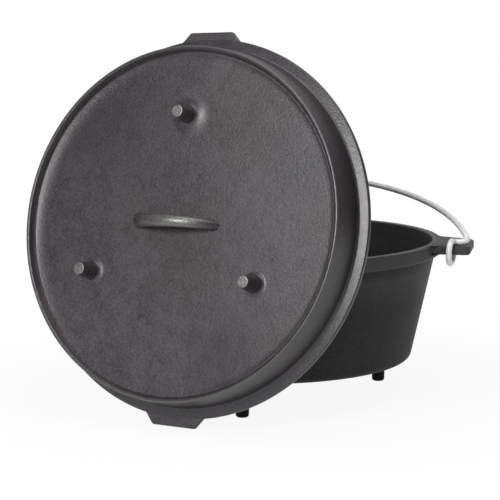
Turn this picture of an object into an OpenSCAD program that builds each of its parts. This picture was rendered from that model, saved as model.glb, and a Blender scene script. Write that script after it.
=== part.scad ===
// Camp dutch oven: a cast pot on three legs, a cast lid propped against it, and a wire bail.
// Millimetres, +Z up. The origin is on the ground under the pot's axis, and the ears lie along X.
// The lid stands on one of its tabs in front of the pot (-Y) and leans back on the pot's rim.
// The bail lies back (+Y), with its end bends resting on the ears.

/* [Pot] */
// Outer diameter of the rim
rim_d = 362; // [330:1:390]
// Width of the rim's flat top
rim_w = 8.5; // [7.5:0.5:11]
// Height of the band under the rim
band_h = 15; // [12:1:18]
// How far the band stands out from the wall
band_step = 6.2; // [4:0.2:7]
// Height of the rim above the ground
pot_h = 161; // [145:1:180]
// How far the wall leans in from the band down to the base
wall_draft = 25; // [20:1:30]
// Height of the base above the ground
leg_h = 37; // [30:1:45]
// Thickness of the wall
wall_t = 4.5; // [4:0.5:6]
// Thickness of the base
base_t = 5; // [5:0.5:8]
// Radius of the outer corner between wall and base
corner_r = 8; // [5:0.5:12]
// Radius of the inner corner between wall and base
cavity_corner_r = 14; // [8:1:20]
// How far inside the edge of the base the legs stand
leg_inset = 23; // [20:1:34]
// Diameter of a leg where it meets the base
leg_root_d = 16; // [14:0.5:20]
// Diameter of a leg at the ground
leg_tip_d = 13; // [10:0.5:14]
// Fillet between a leg and the base
leg_fillet_r = 3; // [2:0.5:4]

/* [Ears] */
// Length of an ear beyond the rim
ear_l = 32.5; // [30:0.5:40]
// Width of an ear at its end
ear_w = 58; // [52:1:66]
// How much an ear widens on each side towards the rim
ear_taper = 8; // [4:0.5:10]
// Thickness of an ear
ear_t = 9; // [8:0.5:10]
// Angle that an ear droops by
ear_droop = 2.5; // [1:0.25:4]
// Fillet between the rim and the side of an ear
ear_fillet_r = 14; // [8:1:18]
// Corner radius at the end of an ear
ear_corner_r = 8; // [5:1:12]
// Diameter of the hole for the bail's eye
ear_hole_d = 11; // [11:0.25:12.5]
// Width of the web between the hole and the front edge of the ear
ear_web_w = 7; // [6:0.25:7.5]

/* [Lid] */
// How far the flange reaches past the pot's rim when the lid is on
flange_over = 4; // [2:0.5:6]
// Thickness of the flange at the lid's wall
flange_t = 6.8; // [5.6:0.2:8]
// How far the flange's top falls towards its edge
flange_fall = 2.2; // [1:0.2:2.6]
// Depth of the lip that drops inside the pot's rim
lip_h = 4; // [2:0.5:6]
// Play between the lip and the inside of the rim
lip_play = 2; // [1:0.5:4]
// Width of the flange outside the lid's wall
shelf_w = 10.5; // [8:0.5:12]
// How far the lid's wall leans in from the flange up to the coal rim
lid_draft = 4.5; // [3:0.5:6]
// Width of the coal rim's crest
crest_w = 2.6; // [2.4:0.2:4]
// Height of the coal rim above the flange's underside
crest_z = 43.7; // [38:0.1:50]
// Depth of the coal dish inside the crest
dish_depth = 5.6; // [5:0.2:7]
// How far the dish's side leans in from the crest down to the plate
dish_draft = 2.5; // [2:0.25:4]
// Width of the plate's edge that curves up to the dish's side
border_w = 10.6; // [8:0.2:14]
// How far the plate's edge rises
border_rise = 1.7; // [1:0.1:2.2]
// Thickness of the lid's plate
plate_t = 4.6; // [4:0.2:7]
// Thickness of the lid's wall at the mouth of the hollow underside
mouth_t = 4.5; // [3:0.5:6]
// How far a tab reaches past the flange
tab_l = 8; // [6:0.5:14]
// Width of a tab at its end
tab_end_w = 46; // [36:1:54]
// How much a tab widens on each side towards the flange
tab_flare = 8; // [5:0.5:12]
// Sideways place of the upper tab
upper_tab_shift = -4; // [-6:0.5:6]
// Radius of the circle that the lid's legs stand on
lid_leg_circle_r = 104; // [90:1:115]
// Height of the lid's legs above the plate
lid_leg_h = 24; // [18:1:30]
// Diameter of a lid leg at the plate
lid_leg_root_d = 17.5; // [15:0.5:20]
// Diameter of a lid leg at its ground tip
lid_leg_tip_d = 12; // [9:0.5:13]
// Fillet between a lid leg and the plate
lid_leg_fillet_r = 4; // [2:0.5:5]

/* [Loop handle] */
// Distance between the feet of the loop, centre to centre
loop_span = 82; // [70:1:95]
// Height of the loop's centreline above the plate
loop_rise = 19; // [17:0.5:24]
// Diameter of the loop's bar
loop_bar_d = 11; // [9:0.5:12]
// Fillet between the loop's feet and the plate
loop_fillet_r = 4; // [2:0.5:5]

/* [Bail] */
// Diameter of the wire
wire_d = 6; // [5.5:0.25:6]
// Distance from the rim out to the eye that hangs in an ear
eye_out = 14; // [11:0.5:17]
// Radius of the eye's centreline
eye_r = 11; // [10.75:0.25:11.5]
// Play between the eye and the edges of the web inside it
eye_play = 0.5; // [0.4:0.05:0.6]
// Radius of the bend from the eye to the short run along the ear
eye_bend_r = 5; // [4:0.5:6]
// Radius of the bend from that run to the arch
arch_bend_r = 8; // [6:0.5:10]
// How much thinner the wire is drawn in its bends
bend_thinning = 0.2; // [0.1:0.1:0.5]
// Angle by which each bend runs on inside the wire next to it
bend_lap = 2; // [1:0.5:3]
// Straight length between the two bends
jog_l = 1.5; // [1:0.5:4]
// How much larger the arch's radius is than half its width
arch_over = 6.5; // [3:0.5:15]
// Angle of the arch above the horizontal as it lies back on the ears
bail_rest = 16; // [10:0.5:20]

/* [Propped lid] */
// Angle of the lid from upright
lean = 13.8; // [10:0.1:17]
// Turn of the lid to the left of straight ahead
lid_turn = 17.7; // [0:0.1:24]
// Sideways place of the lid's foot
lid_shift = 1; // [-15:0.5:15]
// Gap between parts that rest on each other
rest_gap = 0.2; // [0.1:0.05:0.4]

/* [Hidden] */
$fn = 96;
ARC_STEPS = 6;

// Rounding of the rim's edges, and how deep a foot's fillet runs into what it stands on
rim_edge_r = 1.5;
foot_sink = 0.3;

// Pot
rim_r = rim_d / 2;
mouth_r = rim_r - rim_w;
wall_top_r = rim_r - band_step;
wall_top_z = pot_h - band_h;
base_r = wall_top_r - wall_draft;
wall_slope = wall_draft / (wall_top_z - leg_h);
cavity_z = leg_h + base_t;
cavity_top_r = min(mouth_r, wall_top_r - wall_t);
cavity_base_r = base_r + base_t * wall_slope - wall_t;
leg_circle_r = base_r - leg_inset;
leg_angles = [-90, 30, 150];

// Ears: they widen in a straight line from the end to the rim, and droop from the edge of the rim's flat top
ear_reach = rim_r + ear_l;
ear_end_half = ear_w / 2;
ear_root_half = ear_end_half + ear_taper;
ear_root_x = sqrt(pow(rim_r, 2) - pow(ear_root_half, 2)) + 1;
ear_hinge_x = rim_r - rim_edge_r;
function ear_half(x) = ear_end_half + ear_taper * (ear_reach - x) / (ear_reach - ear_root_x);
function ear_top(x) = pot_h - (x - ear_hinge_x) * tan(ear_droop);

// Eye of the bail: it turns about an axis along X that runs inside the web in front of the ear's hole
wire_r = wire_d / 2;
eye_x = rim_r + eye_out;
eye_inner_r = eye_r - wire_r;
web_half = ear_web_w / 2;
pivot_depth = sqrt(pow(eye_inner_r - eye_play, 2) - pow(web_half, 2));
pivot = [0, web_half - ear_half(eye_x), ear_top(eye_x) - pivot_depth];
hole_y = pivot[1] + web_half + ear_hole_d / 2;

// The wire leaves the eye where its short run along the ear just rests on the ear's top
jog_r = norm([eye_r, eye_bend_r]);
jog_height = ear_top(eye_x + eye_bend_r) + rest_gap + wire_r - pivot[2];
leave = asin(jog_height / jog_r) - bail_rest + atan(eye_bend_r / eye_r);
leave_point = [eye_x, eye_r * cos(leave), eye_r * sin(leave)];
jog_start = leave_point + [eye_bend_r, eye_bend_r * sin(leave), -eye_bend_r * cos(leave)];

// The arch is less than half a circle, and touches the bend at each end
arch_bend_x = jog_start[0] + jog_l;
arch_bend_y = jog_start[1] + arch_bend_r;
arch_r = arch_bend_x + arch_bend_r + arch_over;
arch_fall = sqrt(pow(arch_bend_x + arch_over, 2) - pow(arch_bend_x, 2));
arch_centre_y = arch_bend_y - arch_fall;
arch_from = atan2(arch_fall, arch_bend_x);
eye_end = 364;

// Lid
flange_r = rim_r + flange_over;
lid_wall_r = flange_r - shelf_w;
crest_r = lid_wall_r - lid_draft;
tab_r = flange_r + tab_l;
plate_z = crest_z - dish_depth;
under_z = plate_z - plate_t;
tab_t = flange_t - flange_fall;
dish_r = crest_r - crest_w - dish_draft;
border_slope = atan(border_rise / (border_w / 2));
border_curve_r = 0.46 * border_w / tan(border_slope / 2);
lip_r = mouth_r - lip_play;
hollow_r = lip_r - mouth_t;
loop_r = (pow(loop_span / 2, 2) + pow(loop_rise, 2)) / (2 * loop_rise);
loop_half_angle = asin(loop_span / 2 / loop_r) + 3;

// The lid's foot stands on the ground, and the underside of its plate rests on the rim
lid_foot = rim_r - (under_z - rest_gap - pot_h * sin(lean)) / cos(lean);

// Unit vector along v
function unit(v) = v / norm(v);

// Points of an arc of radius r that rounds the corner at p between its neighbours a and b
function round_corner(a, p, b, r) =
    let (
        u = unit(a - p),
        v = unit(b - p),
        half = acos(u * v) / 2,
        reach = r / tan(half),
        centre = p + unit(u + v) * r / sin(half),
        from = p + u * reach - centre,
        to = p + v * reach - centre,
        sweep = atan2(from[0] * to[1] - from[1] * to[0], from * to)
    )
    [for (i = [0 : ARC_STEPS])
        let (t = sweep * i / ARC_STEPS)
        centre + [from[0] * cos(t) - from[1] * sin(t), from[0] * sin(t) + from[1] * cos(t)]];

// Outline through corners [x, y, radius], each rounded by its own radius
function rounded(corners) =
    let (n = len(corners), xy = [for (c = corners) [c[0], c[1]]])
    [for (i = [0 : n - 1])
        each corners[i][2] > 0
            ? round_corner(xy[(i + n - 1) % n], xy[i], xy[(i + 1) % n], corners[i][2])
            : [xy[i]]];

// A solid of revolution from corners [radius, height, rounding]
module turned(corners) {
    rotate_extrude() polygon(rounded(corners));
}

// An arc of round bar in the XY plane, from the +X axis
module bent_bar(bend_r, bar_d, angle) {
    rotate_extrude(angle = angle) translate([bend_r, 0]) circle(d = bar_d);
}

// A tapered foot with a flat, rounded tip at z = 0 and a fillet at its root
module foot(root_d, tip_d, height, edge_r, fillet_r) {
    root_z = height + foot_sink;
    skirt_r = root_d / 2 + fillet_r * 1.3;
    turned([
        [0, 0, 0],
        [tip_d / 2, 0, edge_r],
        [root_d / 2, root_z, fillet_r],
        [skirt_r, root_z, 0],
        [skirt_r, root_z + 1, 0],
        [0, root_z + 1, 0]
    ]);
}

// Outside of the pot: base, sloping wall and rim band, as one solid without its cavity
module pot_outside() {
    turned([
        [0, leg_h, 0],
        [base_r, leg_h, corner_r],
        [wall_top_r, wall_top_z, 2],
        [rim_r, wall_top_z + 2, rim_edge_r],
        [rim_r, pot_h, rim_edge_r],
        [0, pot_h, 0]
    ]);
}

// Inside of the pot, open at the top
module pot_cavity() {
    turned([
        [0, cavity_z, 0],
        [cavity_base_r, cavity_z, cavity_corner_r],
        [cavity_top_r, wall_top_z, 4],
        [mouth_r, pot_h - 2, 0],
        [mouth_r + 1, pot_h + 1, 0],
        [0, pot_h + 1, 0]
    ]);
}

// Drooping ear on the +X side, with fillets into the rim and a hole for the bail's eye
module ear() {
    root_y = ear_root_half + ear_fillet_r * 1.2;
    root_x = sqrt(pow(rim_r - 2, 2) - pow(root_y, 2));
    intersection() {
        translate([ear_hinge_x, 0, pot_h])
            rotate([0, ear_droop, 0])
                translate([-ear_hinge_x, 0, -ear_t])
                    difference() {
                        linear_extrude(height = ear_t)
                            polygon(rounded([
                                [root_x, -root_y, 0],
                                [ear_root_x, -ear_root_half, ear_fillet_r],
                                [ear_reach, -ear_end_half, ear_corner_r],
                                [ear_reach, ear_end_half, ear_corner_r],
                                [ear_root_x, ear_root_half, ear_fillet_r],
                                [root_x, root_y, 0]
                            ]));
                        translate([eye_x, hole_y, -1])
                            cylinder(d = ear_hole_d, h = ear_t + 2);
                    }
        translate([0, -root_y - 1, pot_h - 3 * ear_t])
            cube([ear_reach + 1, 2 * root_y + 2, 3 * ear_t]);
    }
}

// Pot casting: wall, base, rim, both ears and the three legs
module pot() {
    color("#3f3f41")
        difference() {
            union() {
                pot_outside();
                for (side = [0, 1])
                    mirror([side, 0, 0]) ear();
                for (angle = leg_angles)
                    rotate([0, 0, angle])
                        translate([leg_circle_r, 0, 0])
                            foot(leg_root_d, leg_tip_d, leg_h, 2.5, leg_fillet_r);
            }
            pot_cavity();
        }
}

// Section of the lid: hollow underside, lip, flange, wall, coal rim and plate
module lid_disc() {
    turned([
        [0, under_z, 0],
        [hollow_r - 2, under_z, 8],
        [hollow_r, -lip_h, 1],
        [lip_r, -lip_h, 1],
        [lip_r, 0, 0],
        [flange_r, 0, 1.5],
        [flange_r, tab_t, 1.5],
        [lid_wall_r, flange_t, 3],
        [crest_r, crest_z, crest_w * 0.42],
        [crest_r - crest_w, crest_z, crest_w * 0.42],
        [dish_r, plate_z + border_rise, 1],
        [dish_r - border_w / 2, plate_z, border_curve_r],
        [0, plate_z, 0]
    ]);
}

// Flat tab on the flange, on the +Y side
module tab() {
    inner_y = flange_r - 6;
    linear_extrude(height = tab_t)
        polygon(rounded([
            [-tab_end_w / 2 - tab_flare, inner_y, 0],
            [tab_end_w / 2 + tab_flare, inner_y, 0],
            [tab_end_w / 2, tab_r, 3],
            [-tab_end_w / 2, tab_r, 3]
        ]));
}

// Loop in the middle of the plate, bent along X, that a lifting hook goes under
module loop_handle() {
    for (side = [-1, 1])
        translate([side * (loop_span / 2 - 1.5), 0, plate_z + loop_bar_d / 2])
            rotate([180, 0, 0])
                foot(loop_bar_d, loop_bar_d - 4, loop_bar_d / 2, 1, loop_fillet_r);
    translate([0, 0, plate_z + loop_rise - loop_r])
        rotate([90, 0, 0])
            rotate([0, 0, 90 - loop_half_angle])
                bent_bar(loop_r, loop_bar_d, 2 * loop_half_angle);
}

// Lid casting in its own frame: axis along Z, flange underside at z = 0, handle on top
module lid_casting() {
    lid_disc();
    translate([upper_tab_shift, 0, 0]) tab();
    rotate([0, 0, 180]) tab();
    for (i = [0 : 2])
        rotate([0, 0, 90 + 120 * i])
            translate([lid_leg_circle_r, 0, plate_z + lid_leg_h])
                rotate([180, 0, 0])
                    foot(lid_leg_root_d, lid_leg_tip_d, lid_leg_h, 1, lid_leg_fillet_r);
    loop_handle();
}

// Lid propped in front of the pot: its lower tab on the ground, its plate against the rim
module lid() {
    color("#5c595b")
        rotate([0, 0, -lid_turn])
            translate([lid_shift, -lid_foot, 0])
                rotate([90 - lean, 0, 0])
                    translate([0, tab_r, 0])
                        lid_casting();
}

// One end of the bail, on the +X side (side = 1) or the -X side (side = -1): the eye round the web,
// the run along the ear and the bend into the arch
module bail_end(side) {
    translate([side * eye_x, 0, 0])
        rotate([90, 0, 90])
            rotate([0, 0, leave])
                bent_bar(eye_r, wire_d, eye_end - leave);
    translate([side * (eye_x + eye_bend_r), leave_point[1], leave_point[2]])
        rotate([leave - 90, 0, 0])
            rotate([0, 0, (side > 0 ? 90 : 0) - bend_lap])
                bent_bar(eye_bend_r, wire_d - bend_thinning, 90 + 2 * bend_lap);
    translate([side * (jog_start[0] + jog_l / 2), jog_start[1], jog_start[2]])
        rotate([0, 90, 0])
            cylinder(d = wire_d, h = jog_l, center = true);
    translate([side * arch_bend_x, arch_bend_y, jog_start[2]])
        rotate([0, 0, (side > 0 ? -90 : 180 - arch_from) - bend_lap])
            bent_bar(arch_bend_r, wire_d - bend_thinning, 90 + arch_from + 2 * bend_lap);
}

// Wire bail, lying back
module bail() {
    color("#c9cbcc")
        translate(pivot)
            rotate([bail_rest, 0, 0]) {
                translate([0, arch_centre_y, jog_start[2]])
                    rotate([0, 0, arch_from])
                        bent_bar(arch_r, wire_d, 180 - 2 * arch_from);
                for (side = [1, -1])
                    bail_end(side);
            }
}

pot();
lid();
bail();
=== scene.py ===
"""Looks of a camp dutch oven: a cast pot on legs, its lid propped against it, and a wire bail.

Sizes are millimetres and angles degrees, in the row frame: +Z up, origin on the ground under the pot's axis,
ears along X. A mesh is made in metres. In a size's name r is a radius, d a diameter, w a width, h a height,
t a thickness and l a length. Every shape is a grid of points: rings of a section that is turned about an
axis, carried along a path, or stepped inwards from an outline.
"""
import logging
from dataclasses import dataclass, field
from enum import Enum
from typing import Any, Iterable, Mapping, Sequence, Union

import bpy
import numpy as np
from mathutils import Matrix


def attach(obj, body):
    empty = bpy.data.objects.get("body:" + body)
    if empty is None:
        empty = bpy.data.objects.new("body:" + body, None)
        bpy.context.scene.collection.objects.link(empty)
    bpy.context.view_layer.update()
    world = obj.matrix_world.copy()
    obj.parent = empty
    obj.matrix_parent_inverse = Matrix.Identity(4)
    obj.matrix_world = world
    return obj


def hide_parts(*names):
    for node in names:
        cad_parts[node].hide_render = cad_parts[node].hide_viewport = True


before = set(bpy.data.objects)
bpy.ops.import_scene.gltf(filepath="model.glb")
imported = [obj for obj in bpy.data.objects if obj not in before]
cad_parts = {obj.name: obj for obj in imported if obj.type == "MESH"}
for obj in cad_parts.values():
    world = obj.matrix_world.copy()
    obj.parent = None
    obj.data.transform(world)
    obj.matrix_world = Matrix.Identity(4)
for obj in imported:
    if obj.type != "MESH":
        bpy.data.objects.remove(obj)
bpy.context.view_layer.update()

Array = np.ndarray
Span = tuple[float, float]
Vector = tuple[float, float, float]
Colour = tuple[float, float, float]

MM = 0.001
# Faces that meet at more than this angle keep a sharp edge.
SHARP_ANGLE = 48
# Radius of the smallest ring round the axis of the pot and of the lid.
POLE_R = 0.5
# Width of the ring that keeps a plate's face flat up to its rounded edge.
FACE_RING = 0.5
# Share of its rounding that a plate's edge keeps where it runs into another surface.
LEAST_ROUNDING = 0.04
# How far ears and tabs stand out of the faces that they join, so that no two faces lie in one plane.
PROUD = 0.04
# Slack when points are sorted by where they lie.
SLACK = 0.01
# Sockets of a Mix node for colours, which share their names with its other sockets.
MIX_FACTOR, MIX_A, MIX_B, MIX_RESULT = 0, 6, 7, 2
# Middle of the values of a noise.
MIDDLE = 0.5
WHITE = (1, 1, 1, 1)
LOG = logging.getLogger("camp_oven")


class Body(Enum):
    """The bodies that pieces ride on."""

    POT = "pot"
    LID = "lid"
    BAIL = "bail"


class Mark(Enum):
    """Values painted on a mesh's points for its finish to read."""

    # Bare ground metal; on the lid's loop it also carries a painted highlight.
    BARE_AND_HIGHLIGHT = "bare"
    # Wear; on the pot's rim band it also paints the light that the upright band catches.
    WORN_AND_LIT = "worn"
    # Painted shade on the lid's dish wall, coal rim top, border and outer wall, and darker patches that are
    # partly painted shade and partly baked-on oil.
    SHADE_AND_STAIN = "shade_and_stain"


def turn_x(degrees: float) -> Array:
    """Matrix of a right-handed turn about X."""
    c, s = np.cos(np.radians(degrees)), np.sin(np.radians(degrees))
    return np.array([[1, 0, 0], [0, c, -s], [0, s, c]])


def turn_z(degrees: float) -> Array:
    """Matrix of a right-handed turn about Z."""
    c, s = np.cos(np.radians(degrees)), np.sin(np.radians(degrees))
    return np.array([[c, -s, 0], [s, c, 0], [0, 0, 1]])


@dataclass(frozen=True)
class Placement:
    """A turn and then a shift, from a piece's own frame to the frame around it."""

    turn: Array = field(default_factory=lambda: np.eye(3))
    shift: Array = field(default_factory=lambda: np.zeros(3))

    def carry(self, points: Array) -> Array:
        """Points in the outer frame: turn times point, plus shift."""
        return points @ self.turn.T + self.shift

    def inside(self, outer: "Placement") -> "Placement":
        """This placement followed by an outer one."""
        return Placement(outer.turn @ self.turn, outer.turn @ self.shift + outer.shift)

    def mirrors(self) -> bool:
        """True where the turn swaps left and right, which its negative determinant tells."""
        return bool(np.linalg.det(self.turn) < 0)


def shifted(x: float, y: float, z: float) -> Placement:
    """Placement that only shifts."""
    return Placement(shift=np.array([x, y, z]))


def unit(v: Array) -> Array:
    """Vectors scaled to length 1."""
    return v / np.linalg.norm(v, axis=-1, keepdims=True)


def smooth(x: Array, low: float, high: float) -> Array:
    """Smooth step from 0 at low to 1 at high: 3t^2 - 2t^3."""
    t = np.clip((x - low) / (high - low), 0, 1)
    return t * t * (3 - 2 * t)


def on_circle(radius: float, angles: Array) -> Array:
    """Points (n, 2) of a circle about the origin, at angles in radians from +X."""
    return radius * np.stack([np.cos(angles), np.sin(angles)], 1)


def from_y(radius: float, angle: float) -> Span:
    """Point at a distance from the origin, at an angle in radians from +Y towards +X."""
    return radius * np.sin(angle), radius * np.cos(angle)


def towards(rings: Array, degrees: float) -> Array:
    """1 on the side of the axis at an angle from +X, 0 on the far side: (1 + cos of the angle to it) / 2."""
    x, y, a = rings[..., 0], rings[..., 1], np.radians(degrees)
    return 0.5 + 0.5 * (x * np.cos(a) + y * np.sin(a)) / np.hypot(x, y)


def rounded(corners: Sequence[Sequence[float]], steps: int = 8) -> Array:
    """Outline through corners, each replaced by an arc that touches both of its sides.

    The arc's centre lies on the bisector at radius / sin(half the corner's angle).

    Args:
        corners: (x, y, radius) of each corner, in order round the outline.
        steps: Segments in each arc.

    Returns:
        Points (n, 2).
    """
    xy = np.array([c[:2] for c in corners], float)
    parts = []
    for before, here, after, (_, _, radius) in zip(np.roll(xy, 1, 0), xy, np.roll(xy, -1, 0), corners):
        if radius <= 0:
            parts.append(here[None])
            continue
        u, v = unit(before - here), unit(after - here)
        half = np.arccos(np.clip(u @ v, -1, 1)) / 2
        centre = here + unit(u + v) * radius / np.sin(half)
        start, end = (here + w * radius / np.tan(half) - centre for w in (u, v))
        sweep = np.arctan2(start[0] * end[1] - start[1] * end[0], start @ end)
        t = np.linspace(0, sweep, steps + 1)[:, None]
        parts.append(centre + start * np.cos(t) + np.array([-start[1], start[0]]) * np.sin(t))
    return np.concatenate(parts)


def densify(points: Array, longest: float, hold: float = 0.5) -> Array:
    """Open line with points added on segments longer than four holds: near both ends, and evenly between.

    Args:
        points: Points (n, k).
        longest: Longest segment left.
        hold: Distance of the added end points, which keep the shading of flats flat.

    Returns:
        Points (m, k) on the same line.
    """
    parts = []
    for a, b in zip(points[:-1], points[1:]):
        length = float(np.linalg.norm(b - a))
        t = np.array([0.0])
        if length > 4 * hold:
            end = hold / length
            t = np.concatenate([t, np.linspace(end, 1 - end, max(2, int(np.ceil(length / longest)) + 1))])
        parts.append(a + (b - a) * t[:, None])
    return np.concatenate(parts + [points[-1:]])


def closed_line(points: Array, count: int) -> Array:
    """Closed outline resampled at even steps of its length.

    Args:
        points: Points (n, k) of the outline, its first not repeated.
        count: How many points to return.

    Returns:
        Points (count, k) on the same outline.
    """
    loop = np.vstack([points, points[:1]])
    run = np.concatenate([[0], np.cumsum(np.linalg.norm(np.diff(loop, axis=0), axis=1))])
    s = np.linspace(0, run[-1], count, endpoint=False)
    return np.stack([np.interp(s, run, loop[:, k]) for k in range(loop.shape[1])], 1)


def outward(outline: Array) -> Array:
    """Unit normals of a counter-clockwise closed outline, from the chord between each point's neighbours."""
    chord = np.roll(outline, -1, 0) - np.roll(outline, 1, 0)
    return unit(np.stack([chord[:, 1], -chord[:, 0]], 1))


def revolve(profile: Array, columns: int) -> Array:
    """Rings of a profile turned about Z: its point (r, z) at angle a is (r cos a, r sin a, z).

    Args:
        profile: Points (n, 2) of distance from the axis and height.
        columns: Points in a ring.

    Returns:
        Points (n, columns, 3).
    """
    a = np.linspace(0, 2 * np.pi, columns, endpoint=False)
    r, z = profile[:, :1], profile[:, 1:]
    return np.stack([r * np.cos(a), r * np.sin(a), z + 0 * a], -1)


def tube(path: Array, side: Array, radius: Array, sides: int, depth: float = 1.0) -> Array:
    """Rings of a bar: path + radius (depth cos a n + sin a b), with n the side made square to the path.

    Args:
        path: Centreline (n, 3).
        side: A direction across the path at each point (n, 3).
        radius: Radius at each point (n,).
        sides: Points in a ring.
        depth: Share of the radius along n: 1 for a round bar.

    Returns:
        Points (n, sides, 3).
    """
    along = unit(np.gradient(path, axis=0))
    n = unit(side - along * np.sum(side * along, 1, keepdims=True))
    b = np.cross(along, n)
    a = np.linspace(0, 2 * np.pi, sides, endpoint=False)[None, :, None]
    across = depth * np.cos(a) * n[:, None] + np.sin(a) * b[:, None]
    return path[:, None] + radius[:, None, None] * across


def slab(outline: Array, low: float, high: float, edge: float, weight: Union[float, Array] = 1.0,
         steps: int = 6) -> Array:
    """Rings of a flat plate with rounded edges, from its lower face to its upper face.

    A ring is the outline moved inwards by weight * edge (1 - cos a), edge (1 - sin a) from the nearer face,
    for a from 0 at the side to 90 degrees at the face. One more ring lies further in on each face.

    Args:
        outline: Counter-clockwise outline (n, 2).
        low: Height of the lower face.
        high: Height of the upper face.
        edge: Radius of both edges.
        weight: Share of the rounding at each point (n,): near 0 where the plate runs into another piece.
        steps: Segments in each quarter round.

    Returns:
        Points (rings, n, 3).
    """
    a = np.linspace(0, np.pi / 2, steps + 1)
    inset, height = edge * (1 - np.cos(a)), edge * (1 - np.sin(a))
    face = [edge + FACE_RING]
    inset = np.concatenate([face, inset[::-1], inset, face])
    height = np.concatenate([[low], (low + height)[::-1], high - height, [high]])
    inset = inset[:, None] * np.broadcast_to(np.maximum(weight, LEAST_ROUNDING), len(outline))
    flat = outline[None] - inset[..., None] * outward(outline)[None]
    return np.concatenate([flat, np.broadcast_to(height[:, None, None], flat.shape[:2] + (1,))], -1)


def fan_volume(corners: Array) -> float:
    """Six times the volume under faces (n, k, 3): the sum of a . (b x c) over fans from each first corner."""
    return float(np.sum(corners[:, :1] * np.cross(corners[:, 1:-1], corners[:, 2:])))


@dataclass
class Skin:
    """A closed surface on a grid: rings with a pole at each end, or with the last joined to the first.

    Args:
        rings: Points (rows, columns, 3) in millimetres.
        loop: True where the last ring joins the first.
        marks: Values from 0 to 1: one number, one for each ring (rows, 1) or each point (rows, columns).
    """

    rings: Array
    loop: bool = False
    marks: Mapping[Mark, Union[float, Array]] = field(default_factory=dict)

    def points(self) -> Array:
        """All points (n, 3), the two poles last."""
        flat = self.rings.reshape(-1, 3)
        return flat if self.loop else np.vstack([flat, self.rings[0].mean(0), self.rings[-1].mean(0)])

    def values(self, mark: Mark) -> Array:
        """A mark's value at every point, poles included.

        Args:
            mark: Which mark.

        Returns:
            Values (n,).
        """
        value = np.broadcast_to(self.marks.get(mark, 0.0), self.rings.shape[:2])
        ends = [] if self.loop else [value[0].mean(), value[-1].mean()]
        return np.concatenate([value.ravel(), ends])

    def faces(self) -> tuple[Array, Array]:
        """Quads between neighbouring rings and triangles round the poles, all facing out.

        Returns:
            Quads (n, 4) and triangles (m, 3) of point numbers.
        """
        rows, columns = self.rings.shape[:2]
        grid = np.arange(rows * columns).reshape(rows, columns)
        beside = np.roll(grid, -1, 1)
        quads = np.stack([grid, beside, np.roll(beside, -1, 0), np.roll(grid, -1, 0)], -1)
        tris = np.zeros((0, 3), int)
        if not self.loop:
            quads = quads[:-1]
            first, last = np.full(columns, grid.size), np.full(columns, grid.size + 1)
            tris = np.concatenate([
                np.stack([beside[0], grid[0], first], 1), np.stack([grid[-1], beside[-1], last], 1)])
        quads = quads.reshape(-1, 4)
        points = self.points()
        volume = fan_volume(points[quads]) + fan_volume(points[tris])
        return (quads, tris) if volume > 0 else (quads[:, ::-1], tris[:, ::-1])


def add_object(name: str, data: bpy.types.ID) -> bpy.types.Object:
    """Puts a mesh, lamp or camera into the scene.

    Args:
        name: The object's name.
        data: The mesh, lamp or camera.

    Returns:
        The object.
    """
    obj = bpy.data.objects.new(name, data)
    bpy.context.scene.collection.objects.link(obj)
    return obj


def make_piece(name: str, skins: Iterable[tuple[Skin, Placement]]) -> bpy.types.Object:
    """Smooth-shaded mesh object at the origin, its place in its points, with every mark as a point attribute.

    A placement that mirrors a surface also turns its faces round, so that they still face out.

    Args:
        name: The piece's name.
        skins: Surfaces and where each one goes.

    Returns:
        The object.
    """
    points, faces, marks, base = [], [], {m: [] for m in Mark}, 0
    for skin, placement in skins:
        order = -1 if placement.mirrors() else 1
        for group in skin.faces():
            faces += (group[:, ::order] + base).tolist()
        points.append(placement.carry(skin.points()))
        base += len(points[-1])
        for mark in Mark:
            marks[mark].append(skin.values(mark))
    mesh = bpy.data.meshes.new(name)
    mesh.from_pydata((np.concatenate(points) * MM).tolist(), [], faces)
    mesh.polygons.foreach_set("use_smooth", np.ones(len(mesh.polygons), bool))
    mesh.set_sharp_from_angle(angle=np.radians(SHARP_ANGLE))
    for mark, values in marks.items():
        layer = mesh.attributes.new(mark.value, "FLOAT", "POINT")
        layer.data.foreach_set("value", np.concatenate(values).astype(np.float32))
    mesh.update()
    LOG.info("%s: %d faces", name, len(mesh.polygons))
    return add_object(name, mesh)


@dataclass(frozen=True)
class Noise:
    """A layer of noise: spots in a metre, octaves, their roughness, and a shift away from other layers."""

    scale: float
    detail: float = 2.0
    roughness: float = 0.5
    shift: Vector = (0, 0, 0)


class Term:
    """A shader value; arithmetic on it adds Math nodes to its graph."""

    def __init__(self, graph: "Graph", socket: bpy.types.NodeSocket) -> None:
        """Wraps an output socket of a node in the graph."""
        self.graph, self.socket = graph, socket

    def __add__(self, other: "Operand") -> "Term":
        """self + other."""
        return self.graph.math("ADD", self, other)

    def __sub__(self, other: "Operand") -> "Term":
        """self - other."""
        return self.graph.math("SUBTRACT", self, other)

    def __rsub__(self, other: "Operand") -> "Term":
        """other - self."""
        return self.graph.math("SUBTRACT", other, self)

    def __mul__(self, other: "Operand") -> "Term":
        """self * other."""
        return self.graph.math("MULTIPLY", self, other)

    __radd__, __rmul__ = __add__, __mul__

    def step(self, span: Span) -> "Term":
        """0 below the span, 1 above it, smooth between."""
        return self.graph.node(
            "ShaderNodeMapRange", {"interpolation_type": "SMOOTHSTEP"},
            {"Value": self, "From Min": span[0], "From Max": span[1]}, "Result")


Operand = Union[Term, float]
Owner = Union[bpy.types.Material, bpy.types.World]
Key = Union[str, int]
Inputs = Mapping[Key, Any]


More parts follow.
